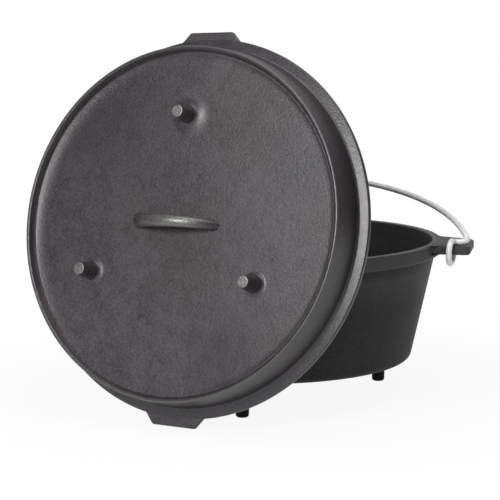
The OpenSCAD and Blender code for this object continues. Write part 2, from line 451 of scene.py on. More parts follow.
class Graph:
    """The node tree of one material or of the world."""

    def __init__(self, owner: Owner) -> None:
        """Empties the owner's node tree.

        Args:
            owner: The material or the world.
        """
        owner.use_nodes = True
        self.owner, self.tree = owner, owner.node_tree
        self.tree.nodes.clear()

    def add(self, kind: str, settings: Mapping[str, Any], inputs: Inputs) -> bpy.types.Node:
        """Adds a node.

        Args:
            kind: The node's type.
            settings: Its properties, set first.
            inputs: Values or terms by input name or number.

        Returns:
            The node.
        """
        made = self.tree.nodes.new(kind)
        for key, value in settings.items():
            setattr(made, key, value)
        for key, value in inputs.items():
            if isinstance(value, Term):
                self.tree.links.new(value.socket, made.inputs[key])
            else:
                made.inputs[key].default_value = value
        return made

    def node(self, kind: str, settings: Mapping[str, Any], inputs: Inputs, output: Key = 0) -> Term:
        """Adds a node and returns one of its outputs, by name or number."""
        return Term(self, self.add(kind, settings, inputs).outputs[output])

    def math(self, operation: str, a: Operand, b: Operand) -> Term:
        """A Math node on two values."""
        return self.node("ShaderNodeMath", {"operation": operation}, {0: a, 1: b})

    def mix(self, a: Union[Term, Colour], b: Union[Term, Colour], share: Operand) -> Term:
        """A mix of two colours.

        Args:
            a: The first colour.
            b: The second colour.
            share: How much of the second shows, from 0 to 1.

        Returns:
            The mixed colour.
        """
        a, b = (c if isinstance(c, Term) else (*c, 1) for c in (a, b))
        inputs = {MIX_FACTOR: share, MIX_A: a, MIX_B: b}
        return self.node("ShaderNodeMix", {"data_type": "RGBA"}, inputs, MIX_RESULT)

    def place(self, shift: Vector = (0, 0, 0)) -> Term:
        """Object coordinates, moved by a shift."""
        here = self.node("ShaderNodeTexCoord", {}, {}, "Object")
        return self.node("ShaderNodeMapping", {}, {"Vector": here, "Location": shift})

    def noise(self, layer: Noise) -> Term:
        """Noise from 0 to 1 in object coordinates."""
        return self.node("ShaderNodeTexNoise", {}, {
            "Vector": self.place(layer.shift), "Scale": layer.scale, "Detail": layer.detail,
            "Roughness": layer.roughness})

    def mark(self, mark: Mark, noise: Term, span: Span) -> Term:
        """A value painted on the mesh, times noise that is spread over a span."""
        painted = self.node("ShaderNodeAttribute", {"attribute_name": mark.value}, {}, "Fac")
        return painted * (span[0] + (span[1] - span[0]) * noise)

    def bump(self, strength: float, depth: float, height: Term) -> Term:
        """Normal tilted by a height."""
        inputs = {"Strength": strength, "Distance": depth, "Height": height}
        return self.node("ShaderNodeBump", {}, inputs, "Normal")

    def ray(self, name: str) -> Term:
        """1 for rays of a named kind, 0 for others."""
        return self.node("ShaderNodeLightPath", {}, {}, name)

    def surface(self, shader: Term) -> Owner:
        """Makes a shader the tree's output.

        Args:
            shader: What the tree shows.

        Returns:
            The tree's owner.
        """
        kind = "World" if isinstance(self.owner, bpy.types.World) else "Material"
        self.add("ShaderNodeOutput" + kind, {}, {"Surface": shader})
        return self.owner


@dataclass(frozen=True)
class SeasonedIron:
    """Sand-cast iron under baked-on oil: fine grain, mottling, brown patches, bare metal where ground."""

    name: str
    deep: Colour
    pale: Colour
    brown: Colour
    worn: Colour
    gloss: float
    shine: float
    bare: Colour = (0.20, 0.198, 0.192)
    tint: tuple[float, float, float, float] = (0.98, 0.99, 1, 1)
    clouds: Noise = Noise(13, 3, 0.55)
    blotches: Noise = Noise(70, 4, 0.6, (3.1, 1.7, 0.4))
    sand: Noise = Noise(430, 3, 0.7)
    pores: Noise = Noise(1500, 1)
    patches: Noise = Noise(8, 2, shift=(0.7, 4.2, 2.2))
    tone_span: Span = (0.36, 0.66)
    sand_span: Span = (0.34, 0.66)
    patch_span: Span = (0.48, 0.72)
    blotch_share: float = 0.45
    sand_share: float = 0.6
    patch_share: float = 0.7
    shade_and_stain_span: Span = (0.6, 1.4)
    shade_and_stain_depth: float = 0.6
    worn_span: Span = (0.55, 1)
    bare_span: Span = (0.35, 1)
    bare_grain: Span = (0.3, 0.62)
    bare_metallic: float = 0.85
    blotch_swing: float = 0.16
    sand_swing: float = 0.05
    shade_and_stain_polish: float = 0.06
    worn_polish: float = 0.09
    bump: float = 0.35
    bump_depth: float = 0.0006
    pore_height: float = 0.3
    blotch_height: float = 0.8
    worn_flattening: float = 0.7

    def material(self) -> bpy.types.Material:
        """Builds the finish.

        Returns:
            The material: clouds, blotches and sand choose between deep and pale, patches turn it brown, and
            marks darken it with painted shade and stains, or pale it with wear, painted light on the pot's
            band and bare metal with a painted highlight on the lid's loop; sand, pores and blotches go to a
            bump.
        """
        g = Graph(bpy.data.materials.new(self.name))
        blotch, sand = g.noise(self.blotches), g.noise(self.sand)
        # Painted shade, and patches partly of painted shade and partly of baked-on oil: they darken the
        # colour.
        shade_and_stain = g.mark(Mark.SHADE_AND_STAIN, blotch, self.shade_and_stain_span)
        # Wear, which on the pot's rim band is also painted light: it pales the colour.
        worn = g.mark(Mark.WORN_AND_LIT, blotch, self.worn_span)
        # Bare metal, and on the lid's loop a painted highlight.
        bare = g.mark(Mark.BARE_AND_HIGHLIGHT, sand.step(self.bare_grain), self.bare_span)
        tone = g.noise(self.clouds) * (1 - self.blotch_share) + blotch * self.blotch_share
        tone = tone.step(self.tone_span) * (1 - self.sand_share) + sand.step(self.sand_span) * self.sand_share
        cast = g.mix(self.pale, self.brown, g.noise(self.patches).step(self.patch_span) * self.patch_share)
        iron = g.mix(self.deep, cast, tone * (1 - self.shade_and_stain_depth * shade_and_stain))
        iron = g.mix(g.mix(iron, self.worn, worn), self.bare, bare)
        swing = self.blotch_swing * (blotch - MIDDLE) + self.sand_swing * (sand - MIDDLE)
        roughness = self.gloss + swing - self.shade_and_stain_polish * shade_and_stain - self.worn_polish * worn
        grain = (sand + g.noise(self.pores) * self.pore_height) * (1 - self.worn_flattening * worn)
        return g.surface(g.node("ShaderNodeBsdfPrincipled", {}, {
            "Base Color": iron, "Metallic": bare * self.bare_metallic, "Roughness": roughness,
            "Normal": g.bump(self.bump, self.bump_depth, grain + blotch * self.blotch_height),
            "Specular IOR Level": self.shine, "Specular Tint": self.tint}))


@dataclass(frozen=True)
class ZincWire:
    """Bright zinc plating on drawn wire: a faint cloudy spangle and small scuffs."""

    name: str
    bright: Colour
    dull: Colour
    gloss: float = 0.36
    metallic: float = 0.1
    spangle: Noise = Noise(160, 3, 0.6)
    spangle_span: Span = (0.42, 0.7)
    spangle_swing: float = 0.16
    scuffs: Noise = Noise(900, 2, shift=(1.3, 0.2, 0.6))
    scuff_bump: float = 0.05
    scuff_depth: float = 0.0002

    def material(self) -> bpy.types.Material:
        """Builds the finish.

        Returns:
            The material: the spangle sets its colour and roughness, and the scuffs go to a bump.
        """
        g = Graph(bpy.data.materials.new(self.name))
        spangle = g.noise(self.spangle)
        return g.surface(g.node("ShaderNodeBsdfPrincipled", {}, {
            "Base Color": g.mix(self.bright, self.dull, spangle.step(self.spangle_span)),
            "Metallic": self.metallic, "Roughness": self.gloss + self.spangle_swing * (spangle - MIDDLE),
            "Normal": g.bump(self.scuff_bump, self.scuff_depth, g.noise(self.scuffs))}))


def settle(obj: bpy.types.Object, body: Body, material: bpy.types.Material) -> None:
    """Gives a piece its finish and its slot, puts it on its body and lets it stand for that body's solid.

    Args:
        obj: The piece.
        body: The body that it rides on, named like the solid that it stands for.
        material: The finish.
    """
    obj.data.materials.append(material)
    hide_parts(body.value)
    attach(obj, body.value)


@dataclass(frozen=True)
class Foot:
    """Tapered foot that points up from z = 0: a hollow flare at the root, a straight taper, a rounded tip.

    The edge rounds the tip, and the root reaches down by sink into the casting that carries the foot. Over
    the ground span, counted in edges up to the tip, the metal turns bare.
    """

    height: float
    root_d: float
    tip_d: float
    edge: float
    sink: float = 2
    ground: Span = (-0.5, -0.1)
    pole_r: float = 0.4
    flare_lift: float = 0.02
    flare_points: int = 12
    longest: float = 4
    hold: float = 0.4
    columns: int = 48

    def skin(self, flare: Span) -> Skin:
        """Rings of the foot's section, turned about its axis.

        The flare is a quarter ellipse: width (1 - sin q) outside the taper, at a height of rise (1 - cos q).

        Args:
            flare: Width and rise of the flare.

        Returns:
            The surface, bare where its tip is ground.
        """
        width, rise = flare
        q = np.linspace(0, np.pi / 2, self.flare_points)
        z = self.flare_lift + rise * (1 - np.cos(q))
        r = self.root_d / 2 + (self.tip_d - self.root_d) / 2 * z / self.height + width * (1 - np.sin(q))
        line = rounded([
            (self.pole_r, -self.sink, 0), (self.root_d / 2 + width, -self.sink, 0), *zip(r, z, 0 * z),
            (self.tip_d / 2, self.height, self.edge), (self.pole_r, self.height, 0)])
        line = densify(line, self.longest, self.hold)
        bare = smooth((line[:, 1:] - self.height) / self.edge, *self.ground)
        return Skin(revolve(line, self.columns), marks={Mark.BARE_AND_HIGHLIGHT: bare})


@dataclass
class Pot:
    """Pot casting: base, drafted wall, rim band, two ears and three legs."""

    rim_r: float = 181
    rim_w: float = 8.5
    rim_edge: float = 1.5
    band_h: float = 15
    band_step: float = 6.2
    band_rise: float = 2
    band_root: float = 2
    band_edge: float = 1.6
    height: float = 161
    draft: float = 25
    wall_t: float = 4.5
    base_t: float = 5
    corner_r: float = 8
    inner_corner_r: float = 14
    mouth_fillet: float = 4
    longest: float = 12
    columns: int = 224
    leg: Foot = Foot(height=37, root_d=16, tip_d=13, edge=2.5)
    leg_inset: float = 23
    leg_flare: Span = (3, 3)
    leg_angles: tuple[float, ...] = (-90, 30, 150)
    ear_l: float = 32.5
    ear_w: float = 58
    ear_taper: float = 8
    ear_t: float = 9
    ear_droop: float = 2.5
    ear_droop_from: float = -1.5
    ear_fillet: float = 14
    ear_corner: float = 8
    ear_edge: float = 2.2
    ear_edge_from: Span = (-1, 2)
    ear_sink: float = 4.5
    ear_side_out: float = 1
    ear_root_reach: float = 1.2
    ear_root_points: int = 40
    ear_arc_steps: int = 10
    ear_columns: int = 240
    ear_face_steps: int = 8
    hole_d: float = 11
    hole_x: float = 195
    hole_y: float = -20.69
    hole_edge: float = 0.8
    rim_wear_z: Span = (-1.2, -0.4)
    # Painted light with wear: the rim band is made paler.
    band_wear_and_light: float = 0.9
    wall_wear: float = 0.8
    wall_wear_from: float = 0.6
    mouth_wear_w: float = 1
    ear_wear: float = 0.65

    def shell(self) -> Skin:
        """Base, wall and rim: the pot's section, outside and inside, turned about Z.

        Returns:
            The surface, worn on the rim's top and on the upper part of the inside, and paler on the band,
            partly as wear and partly as painted light that its upright face catches.
        """
        leg_h, wall_r, band_z = self.leg.height, self.rim_r - self.band_step, self.height - self.band_h
        base_r, floor_z = wall_r - self.draft, leg_h + self.base_t
        mouth_r = self.rim_r - self.rim_w
        slope = self.draft / (band_z - leg_h)
        inner_r = base_r + self.base_t * slope - self.wall_t
        line = rounded([
            (POLE_R, leg_h, 0), (base_r, leg_h, self.corner_r), (wall_r, band_z, self.band_root),
            (self.rim_r, band_z + self.band_rise, self.band_edge), (self.rim_r, self.height, self.rim_edge),
            (mouth_r, self.height, self.rim_edge),
            (min(mouth_r, wall_r - self.wall_t), band_z, self.mouth_fillet),
            (inner_r, floor_z, self.inner_corner_r), (POLE_R, floor_z, 0)])
        line = densify(line, self.longest)
        r, z = line[:, :1], line[:, 1:]
        top = smooth(z - self.height, *self.rim_wear_z)
        # Painted light with wear: the upright band is paler, for the light it catches more than the wall.
        band = self.band_wear_and_light * smooth(z, band_z, band_z + self.band_rise) * (r > wall_r)
        wall = self.wall_wear * smooth(z, self.wall_wear_from * self.height, self.height)
        inside = wall * (r < mouth_r + self.mouth_wear_w)
        return Skin(revolve(line, self.columns), marks={Mark.WORN_AND_LIT: np.max([top, band, inside], 0)})

    def ear(self) -> Skin:
        """Ear on the +X side: a closed section that runs round its outline and its hole.

        The outline tapers to the end and starts on an arc inside the rim; the faces between it and the hole
        are straight blends of the two. From just inside the rim's edge on, a point drops by its distance
        times the droop's tangent.

        Returns:
            The surface, worn all over.
        """
        half, end = self.ear_w / 2, self.rim_r + self.ear_l
        wide = half + self.ear_taper
        root_y, root_r = wide + self.ear_fillet * self.ear_root_reach, self.rim_r - self.ear_sink
        side_x = np.sqrt(self.rim_r ** 2 - wide ** 2) + self.ear_side_out
        spread = np.arcsin(root_y / root_r)
        root_x = root_r * np.cos(spread)
        corners = rounded([
            (root_x, -root_y, 0), (side_x, -wide, self.ear_fillet), (end, -half, self.ear_corner),
            (end, half, self.ear_corner), (side_x, wide, self.ear_fillet), (root_x, root_y, 0),
        ], self.ear_arc_steps)
        root = on_circle(root_r, np.linspace(spread, -spread, self.ear_root_points)[1:-1])
        outline = closed_line(np.vstack([corners, root]), self.ear_columns)
        centre = np.array([self.hole_x, self.hole_y])
        x, y = (outline - centre).T
        hole = centre + on_circle(self.hole_d / 2, np.arctan2(y, x))
        low, high = self.height - self.ear_t, self.height + PROUD
        weight = smooth(np.linalg.norm(outline, axis=1) - self.rim_r, *self.ear_edge_from)
        outer = slab(outline, low, high, self.ear_edge, weight)
        inner = slab(hole[::-1], low, high, self.hole_edge)[::-1, ::-1]
        t = np.linspace(0, 1, self.ear_face_steps + 1)[1:-1, None, None]
        upper, lower = outer[-1] * (1 - t) + inner[0] * t, inner[-1] * (1 - t) + outer[0] * t
        rings = np.concatenate([outer, upper, inner, lower])
        past = np.maximum(rings[..., 0] - self.rim_r - self.ear_droop_from, 0)
        rings[..., 2] -= past * np.tan(np.radians(self.ear_droop))
        return Skin(rings, loop=True, marks={Mark.WORN_AND_LIT: self.ear_wear})

    def build(self) -> bpy.types.Object:
        """Makes the casting's mesh.

        Returns:
            The piece.
        """
        hang = Placement(np.diag([1.0, -1.0, -1.0]), np.array([0, 0, self.leg.height]))
        stand = hang.inside(shifted(self.rim_r - self.band_step - self.draft - self.leg_inset, 0, 0))
        leg, ear = self.leg.skin(self.leg_flare), self.ear()
        legs = [(leg, stand.inside(Placement(turn_z(angle)))) for angle in self.leg_angles]
        ears = [(ear, Placement(np.diag([side, 1.0, 1.0]))) for side in (1.0, -1.0)]
        return make_piece("pot_casting", [(self.shell(), Placement()), *ears, *legs])

    def dress(self, obj: bpy.types.Object) -> None:
        """Gives the casting its seasoned finish."""
        finish = SeasonedIron(
            "seasoned_pot", deep=(0.023, 0.0208, 0.0216), pale=(0.045, 0.0408, 0.0425),
            brown=(0.041, 0.033, 0.032), worn=(0.096, 0.091, 0.092), gloss=0.55, shine=0.1)
        settle(obj, Body.POT, finish.material())


@dataclass(frozen=True)
class Blot:
    """A round darker patch on the lid, partly painted shade and partly baked-on oil, placed in the lid's own
    frame.
    """

    x: float
    y: float
    size: float
    strength: float

    def shade(self, x: Array, y: Array) -> Array:
        """How dark it is at points: strength * exp(-distance^2 / (2 size^2))."""
        return self.strength * np.exp(-((x - self.x) ** 2 + (y - self.y) ** 2) / (2 * self.size ** 2))


@dataclass
class Lid:
    """Lid casting in its own frame (axis Z, flange underside at z = 0, handle on top), and how it leans.

    Its lower tab stands foot_y in front of the pot's axis and shift to its right. It leans back by lean from
    upright, and is then turned about the pot's axis by turn, clockwise seen from above.
    """

    flange_r: float = 185
    flange_t: float = 6.8
    flange_fall: float = 2.2
    flange_low_edge: float = 1.5
    flange_edge: float = 1.6
    lip_r: float = 170.5
    lip_h: float = 4
    lip_edge: float = 1
    mouth_t: float = 4.5
    hollow_draft: float = 2
    hollow_fillet: float = 8
    shelf_w: float = 10.5
    wall_fillet: float = 3
    draft: float = 3.7
    crest_w: float = 3.4
    crest_z: float = 43.7
    crest_fall: float = 0.7
    crest_edge: float = 1.4
    crest_inner_edge: float = 1
    dish_depth: float = 5.6
    dish_draft: float = 2.5
    border_w: float = 20
    border_narrowing: float = 0.8
    border_slope: float = 0.35
    border_side: float = 160
    border_creep: float = 3
    border_rings: tuple[float, ...] = (0, 0.7, 1.5, 2.5, 3.5, 5, 6.5, 8, 10, 12, 15, 18, 22)
    plate_t: float = 4.6
    arc_steps: int = 10
    longest: float = 8
    columns: int = 288
    tab_l: float = 8
    tab_end_w: float = 47
    tab_flare: float = 9
    tab_fillet: float = 6
    tab_corner: float = 4
    tab_edge: float = 1.6
    tab_edge_from: Span = (-1, 1.5)
    tab_sink: float = 4
    tab_sink_spread: float = 1.3
    tab_sink_points: int = 24
    tab_shoulder_sink: float = 0.8
    tab_shoulder_spread: float = 1.25
    tab_root_sink: float = 0.4
    tab_columns: int = 240
    upper_tab_l: float = 6.8
    upper_tab_turn: float = 1.8
    leg: Foot = Foot(height=24, root_d=17.5, tip_d=12, edge=1.2)
    leg_circle: float = 104
    leg_flares: tuple[tuple[float, Span], ...] = ((90, (14, 4)), (210, (5, 3)), (330, (4, 2.5)))
    loop_span: float = 82
    loop_rise: float = 19
    loop_bar: float = 11
    loop_flat: float = 0.8
    loop_thin: float = 0.54
    loop_taper: float = 1.8
    loop_flare: float = 4
    loop_flare_z: Span = (6, -3)
    loop_flare_end: float = 0.98
    loop_past: float = 3
    loop_steps: int = 120
    loop_sides: int = 48
    # Bare metal on the loop, with a painted highlight along the stretch where the lamp's highlight falls.
    loop_bare_and_highlight: Span = (0.28, 0.92)
    loop_bare_and_highlight_z: Span = (3, 14)
    loop_highlight_start: Span = (-22, 4)
    loop_highlight_end: Span = (16, 40)
    lean: float = 13.8
    turn: float = 17.7
    shift: float = 1
    foot_y: float = 186.2556
    crest_wear_z: Span = (-1.5, -0.8)
    crest_wear_r: Span = (-1.8, -1)
    # Painted shade: on the dish's wall and the coal rim's top, and to the right on the plate's border, flange
    # and outer wall.
    dish_shade_z: Span = (1, 2.5)
    dish_shade_in: float = 0.3
    border_shade: float = 0.7
    border_shade_r: Span = (-7, -1)
    wall_shade: float = 0.9
    wall_shade_fade: float = 0.6
    wall_shade_z: Span = (4, 24)
    # Darker patches on the plate: partly painted shade where its sheen falls off, partly baked-on oil.
    blots: tuple[Blot, ...] = (Blot(-95, 105, 45, 0.9), Blot(75, -125, 32, 0.8), Blot(-10, 30, 50, 0.3))

    @property
    def plate_z(self) -> float:
        """Height of the plate's top."""
        return self.crest_z - self.dish_depth

    @property
    def crest_r(self) -> float:
        """Radius of the coal rim's outer edge."""
        return self.flange_r - self.shelf_w - self.draft

    @property
    def dish_r(self) -> float:
        """Radius of the plate, at the foot of the dish's wall."""
        return self.crest_r - self.crest_w - self.dish_draft

    def propped(self) -> Placement:
        """From the lid's own frame to the row frame: lower tab on the ground, leaning on the pot's rim."""
        stand = shifted(0, self.flange_r + self.tab_l, 0).inside(Placement(turn_x(90 - self.lean)))
        return stand.inside(shifted(self.shift, -self.foot_y, 0)).inside(Placement(turn_z(-self.turn)))

    def section(self) -> Array:
        """Half of the lid's section, from the axis under the plate, round the flange and back over the plate.

        Returns:
            Points (n, 2) of distance from the axis and height.
        """
        under, hollow_r = self.plate_z - self.plate_t, self.lip_r - self.mouth_t
        flange_z = self.flange_t - self.flange_fall
        line = rounded([
            (POLE_R, under, 0), (hollow_r - self.hollow_draft, under, self.hollow_fillet),
            (hollow_r, -self.lip_h, self.lip_edge), (self.lip_r, -self.lip_h, self.lip_edge),
            (self.lip_r, 0, 0), (self.flange_r, 0, self.flange_low_edge),
            (self.flange_r, flange_z, self.flange_edge),
            (self.flange_r - self.shelf_w, self.flange_t, self.wall_fillet),
            (self.crest_r, self.crest_z, self.crest_edge),
            (self.crest_r - self.crest_w, self.crest_z - self.crest_fall, self.crest_inner_edge),
            *((self.dish_r - inset, self.plate_z, 0) for inset in self.border_rings),
            (POLE_R, self.plate_z, 0)], self.arc_steps)
        return densify(line, self.longest)

    def disc(self) -> Skin:
        """Hollow underside, lip, flange, wall, coal rim and plate: the lid's section turned about its axis.

        Towards the coal rim the plate curves up by slope * width / 3 * (1 - distance / width)^3. The slope is
        greatest at the left and the right, and the width at the left, where the foot of the dish's wall also
        creeps inwards.

        Returns:
            The surface with its marks.
        """
        line = self.section()
        r = line[:, :1]
        rings = revolve(line, self.columns)
        right, side = towards(rings, 0), towards(rings, self.border_side)
        width = self.border_w * (1 - self.border_narrowing * right)
        inside = self.on_plate(line) * np.clip(1 - (self.dish_r - r) / width, 0, 1)
        rings[..., 2] += self.border_slope * (side ** 4 + right ** 2) * width / 3 * inside ** 3
        rings[..., :2] *= (1 - self.border_creep * (1 - right) * inside / r)[..., None]
        return Skin(rings, marks=self.disc_marks(line, rings))

    def on_plate(self, line: Array) -> Array:
        """True (rows, 1) for points of the section that lie on the plate's top."""
        return (line[:, :1] < self.dish_r + SLACK) & (line[:, 1:] > self.plate_z - SLACK)

    def disc_marks(self, line: Array, rings: Array) -> dict[Mark, Array]:
        """Wear on the coal rim's outer edge, painted shade, and darker patches.

        The darker patches are blots, partly painted shade and partly baked-on oil. The painted shade lies on
        the dish's wall and the coal rim's top and, growing to the right, on a ring of the plate's border and
        on the flange with the outer wall, where it fades upwards.

        Args:
            line: Points (rows, 2) of the section.
            rings: Points (rows, columns, 3) of the disc.

        Returns:
            The values of both marks.
        """
        r, z, right = line[:, :1], line[:, 1:], towards(rings, 0)
        worn = smooth(z - self.crest_z, *self.crest_wear_z) * smooth(r - self.crest_r, *self.crest_wear_r)
        # Painted shade on the dish's wall and the coal rim's top.
        dish = smooth(z - self.plate_z, *self.dish_shade_z) * (r < self.crest_r - self.dish_shade_in) - worn
        # Darker patches: partly painted shade, partly baked-on oil.
        blots = sum(blot.shade(rings[..., 0], rings[..., 1]) for blot in self.blots)
        # Painted shade on a ring of the plate's border, growing to the right.
        border = self.border_shade * self.on_plate(line) * smooth(r - self.dish_r, *self.border_shade_r)
        # Painted shade on the flange and the outer wall, growing to the right and fading upwards.
        fade = self.wall_shade_fade * smooth(z - self.flange_t, *self.wall_shade_z)
        wall = self.wall_shade * (r > self.crest_r) * (1 - fade)
        shade_and_stain = dish + blots + border * right + wall * right ** 2
        return {Mark.WORN_AND_LIT: worn, Mark.SHADE_AND_STAIN: np.clip(shade_and_stain, 0, 1)}

    def tab(self, length: float) -> Skin:
        """Tab on the flange at +Y: a tapered outline with filleted roots that starts inside the flange.

        Args:
            length: How far it stands out from the flange.

        Returns:
            The surface.
        """
        half, flange_r = self.tab_end_w / 2, self.flange_r
        root = np.arcsin((half + self.tab_flare) / flange_r)
        sunk = np.linspace(-self.tab_sink_spread, self.tab_sink_spread, self.tab_sink_points) * root
        inner = [(*from_y(flange_r - self.tab_sink, angle), 0) for angle in sunk]
        right = [
            (*from_y(flange_r - self.tab_shoulder_sink, self.tab_shoulder_spread * root), 0),
            (*from_y(flange_r - self.tab_root_sink, root), self.tab_fillet),
            (half, flange_r + length, self.tab_corner)]
        left = [(-x, y, radius) for x, y, radius in right[::-1]]
        outline = closed_line(rounded([*inner, *right, *left]), self.tab_columns)
        weight = smooth(np.linalg.norm(outline, axis=1) - flange_r, *self.tab_edge_from)
        return Skin(slab(outline, -PROUD, self.flange_t - self.flange_fall + PROUD, self.tab_edge, weight))

    def loop(self) -> Skin:
        """Loop handle: a bar on an arc whose rise and span set its radius.

        The bar thickens towards its left foot, and flares there by flare (1 - sqrt(1 - u^2)), with u rising
        from 0 just above the plate towards 1 just below it. Its ends are cut level in the plate's thickness.

        Returns:
            The surface, bare above the plate, most of all along a rubbed stretch that carries a painted
            highlight.
        """
        radius = ((self.loop_span / 2) ** 2 + self.loop_rise ** 2) / (2 * self.loop_rise)
        reach = np.arcsin(self.loop_span / 2 / radius) + np.radians(self.loop_past)
        a = np.linspace(reach, -reach, self.loop_steps)
        side = np.stack([np.sin(a), 0 * a, np.cos(a)], 1)
        path = radius * side + np.array([0, 0, self.plate_z + self.loop_rise - radius])
        x, above = path[:, 0], path[:, 2] - self.plate_z
        start, end = self.loop_flare_z
        u = np.clip((start - above) / (start - end), 0, self.loop_flare_end)
        left = smooth(-x, -self.loop_span / 2, self.loop_span / 2)
        bar = self.loop_bar / 2 - self.loop_thin + left * self.loop_taper
        bar = bar + left * self.loop_flare * (1 - np.sqrt(1 - u * u))
        # Painted highlight on rubbed metal: the stretch lies where the lamp's highlight falls on the bar.
        rubbed_and_highlit = smooth(x, *self.loop_highlight_start) * (1 - smooth(x, *self.loop_highlight_end))
        least, most = self.loop_bare_and_highlight
        bare = smooth(above, *self.loop_bare_and_highlight_z) * (least + (most - least) * rubbed_and_highlit)
        rings = tube(path, side, bar, self.loop_sides, self.loop_flat)
        rings[..., 2] = np.maximum(rings[..., 2], self.plate_z - self.plate_t / 2)
        return Skin(rings, marks={Mark.BARE_AND_HIGHLIGHT: bare[:, None]})

    def build(self) -> bpy.types.Object:
        """Makes the casting's mesh, propped against the pot.

        Returns:
            The piece.
        """
        stand = shifted(self.leg_circle, 0, self.plate_z)
        tabs = ((self.upper_tab_l, self.upper_tab_turn), (self.tab_l, 180))
        skins = [(self.disc(), Placement()), (self.loop(), Placement())]
        skins += [(self.tab(length), Placement(turn_z(angle))) for length, angle in tabs]
        skins += [(self.leg.skin(flare), stand.inside(Placement(turn_z(a)))) for a, flare in self.leg_flares]
        propped = self.propped()
        return make_piece("lid_casting", [(skin, place.inside(propped)) for skin, place in skins])

    def dress(self, obj: bpy.types.Object) -> None:
        """Gives the casting its seasoned finish."""
        finish = SeasonedIron(
            "seasoned_lid", deep=(0.0115, 0.0088, 0.0105), pale=(0.055, 0.045, 0.055),
            brown=(0.050, 0.034, 0.030), worn=(0.075, 0.073, 0.073), gloss=0.4, shine=0.7)
        settle(obj, Body.LID, finish.material())


@dataclass
class Bail:
    """Wire bail in its own frame (X along the pivot, +Y towards the arch), and how it lies on the ears.

    An eye runs from the angle eye_end at the wire's tip to the angle leave, both about X from +Y. The jog is
    the straight run along the ear, and arch_over is what the arch's radius has over half the bail's width.
    """

    wire_d: float = 6
    wire_sides: int = 24
    eye_x: float = 195
    eye_r: float = 11
    eye_end: float = 364
    eye_steps: int = 64
    eye_bend: float = 5
    eye_bend_steps: int = 16
    leave: float = 61.17
    twist: float = 0.15
    jog: float = 0.7
    jog_steps: int = 6
    arch_bend: float = 8
    arch_bend_steps: int = 20
    arch_over: float = 6.5
    arch_steps: int = 180
    dome_rings: float = 3
    dome_start: float = 0.3
    rest: float = 16
    pivot: Vector = (0, -29.69, 153.69)

    @property
    def bend_x(self) -> float:
        """Distance from the middle to the centre of the bend at each end of the arch."""
        eye_out = self.twist * self.eye_r * np.cos(np.radians(self.leave))
        return self.eye_x + eye_out + self.eye_bend + self.jog

    @property
    def arch_from(self) -> float:
        """Angle at which the arch touches that bend: its cosine is bend_x / (bend_x + arch_over)."""
        return float(np.arccos(self.bend_x / (self.bend_x + self.arch_over)))

    def half_path(self) -> tuple[Array, Array]:
        """Centreline from the tip of the +X eye to the start of the arch, with a direction across it.

        The eye is a circle in the YZ plane, twisted outwards by a share of Y. A quarter turn in the plane of
        X and the eye's tangent leads to the run along the ear, and a bend in the XY plane to the arch.

        Returns:
            Points (n, 3) and directions (n, 3).
        """
        out, _, up = np.eye(3)
        turn = np.radians(np.linspace(self.eye_end, self.leave, self.eye_steps))[:, None]
        radial = np.concatenate([0 * turn, np.cos(turn), np.sin(turn)], 1)
        eye = (self.eye_x + self.twist * self.eye_r * radial[:, 1:2]) * out + self.eye_r * radial
        tangent = np.array([0, radial[-1, 2], -radial[-1, 1]])
        q = np.linspace(np.pi, np.pi / 2, self.eye_bend_steps)[1:, None]
        first = eye[-1] + self.eye_bend * (out + np.cos(q) * out + np.sin(q) * tangent)
        t = np.linspace(0, 1, self.jog_steps)[1:, None]
        run = first[-1] + t * self.jog * out
        q = np.linspace(-np.pi / 2, self.arch_from, self.arch_bend_steps)[1:, None]
        centre = run[-1] + np.array([0, self.arch_bend, 0])
        second = centre + self.arch_bend * np.concatenate([np.cos(q), np.sin(q), 0 * q], 1)
        side = np.concatenate([
            radial, np.broadcast_to(radial[-1], first.shape), radial[-1] * (1 - t) + up * t,
            np.broadcast_to(up, second.shape)])
        return np.concatenate([eye, first, run, second]), side

    def wire(self) -> Skin:
        """The whole wire: one end, an arch of less than half a circle, and the other end mirrored.

        The arch's points are radius (cos a, sin a), moved to start at the bend. Over the first rings from
        each tip the wire's radius grows along a quarter circle.

        Returns:
            The surface.
        """
        right, side = self.half_path()
        mirror = np.array([-1, 1, 1])
        a = np.linspace(self.arch_from, np.pi - self.arch_from, self.arch_steps)[1:-1]
        radius = self.bend_x + self.arch_bend + self.arch_over
        rise = radius * (np.sin(a) - np.sin(self.arch_from))
        arch = np.stack([radius * np.cos(a), right[-1, 1] + rise, right[-1, 2] + 0 * a], 1)
        path = np.concatenate([right, arch, (right * mirror)[::-1]])
        across = np.concatenate([side, np.broadcast_to([0, 0, 1.0], arch.shape), (side * mirror)[::-1]])
        ring = np.arange(len(path))
        to_tip = (np.minimum(ring, ring[::-1]) + self.dome_start) / self.dome_rings
        thick = self.wire_d / 2 * np.sqrt(1 - np.clip(1 - to_tip, 0, 1) ** 2)
        return Skin(tube(path, across, thick, self.wire_sides))

    def build(self) -> bpy.types.Object:
        """Makes the wire's mesh, lying back."""
        return make_piece("bail_wire", [(self.wire(), Placement(turn_x(self.rest), np.array(self.pivot)))])

    def dress(self, obj: bpy.types.Object) -> None:
        """Gives the wire its zinc plating."""
        finish = ZincWire("zinc_plate", bright=(0.93, 0.93, 0.93), dull=(0.8, 0.8, 0.8))
        settle(obj, Body.BAIL, finish.material())


